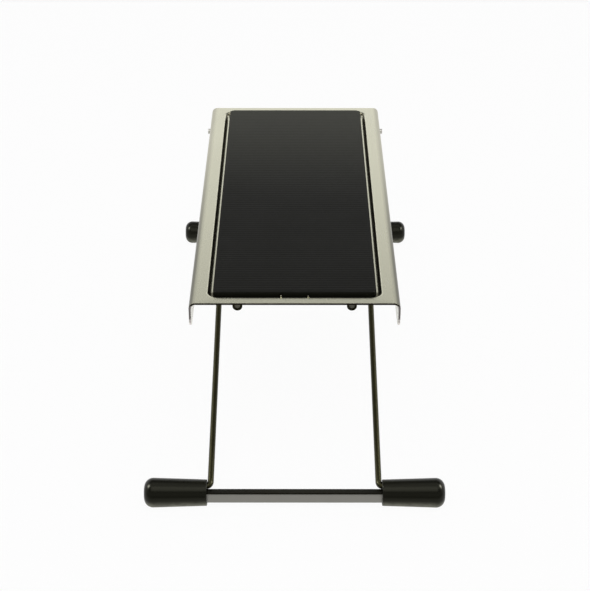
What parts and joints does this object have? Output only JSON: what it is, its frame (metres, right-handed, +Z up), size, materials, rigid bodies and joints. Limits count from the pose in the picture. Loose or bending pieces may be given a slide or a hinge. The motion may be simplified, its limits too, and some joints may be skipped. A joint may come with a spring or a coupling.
{
  "type": "guitar footrest",
  "caption": "Folding footrest: a sloping steel tread with a rubber mat on crossed wire legs, which turn to raise it or fold it flat, with vinyl sleeves on the feet.",
  "frame": {"origin": "on the floor, midway between the four feet", "axes": "+X to the right across the tread, +Y along the tread towards its higher far end, +Z up"},
  "size_m": [0.1664, 0.3764, 0.1287],
  "materials": {
    "satin_nickel": "warm satin nickel plate on pressed sheet steel",
    "bar_nickel": "grey satin nickel plate on a folded strip",
    "black_rubber": "matt black rubber with fine ribs across",
    "black_vinyl": "satin black dipped vinyl",
    "dark_wire": "dark olive-black gloss plating on steel wire and strip",
    "rivet_steel": "plain plated steel"
  },
  "bodies": {
    "tread": {"top_plate": "satin_nickel", "rubber_mat": "black_rubber", "rack_left": "dark_wire", "rack_right": "dark_wire", "rack_rivet_left_near": "rivet_steel", "rack_rivet_left_far": "rivet_steel", "rack_rivet_right_near": "rivet_steel", "rack_rivet_right_far": "rivet_steel"},
    "front_leg": {"front_leg_wire_left": "dark_wire", "front_leg_wire_right": "dark_wire", "front_cross_bar": "bar_nickel", "front_foot_sleeve_left": "black_vinyl", "front_foot_sleeve_right": "black_vinyl", "cross_rivet_left": "rivet_steel", "cross_rivet_right": "rivet_steel", "cross_washer_left": "rivet_steel", "cross_washer_right": "rivet_steel"},
    "rear_leg": {"rear_leg_wire": "dark_wire", "rear_cross_bar": "bar_nickel", "rear_foot_sleeve_left": "black_vinyl", "rear_foot_sleeve_right": "black_vinyl"}
  },
  "joints": [
    {"name": "front_leg_hinge", "type": "hinge", "parent": "tread", "child": "front_leg", "pos_m": [0, 0.10003, 0.11806], "axis": [1, 0, 0], "range_deg": [-16, 20.3]},
    {"name": "rear_leg_pivot", "type": "hinge", "parent": "front_leg", "child": "rear_leg", "pos_m": [0, -0.02408, 0.06952], "axis": [1, 0, 0], "range_deg": [-46.5, 36.6]}
  ],
  "couplings": [
    {"joint": "rear_leg_pivot", "follows": "front_leg_hinge", "ratio": -2.28}
  ]
}
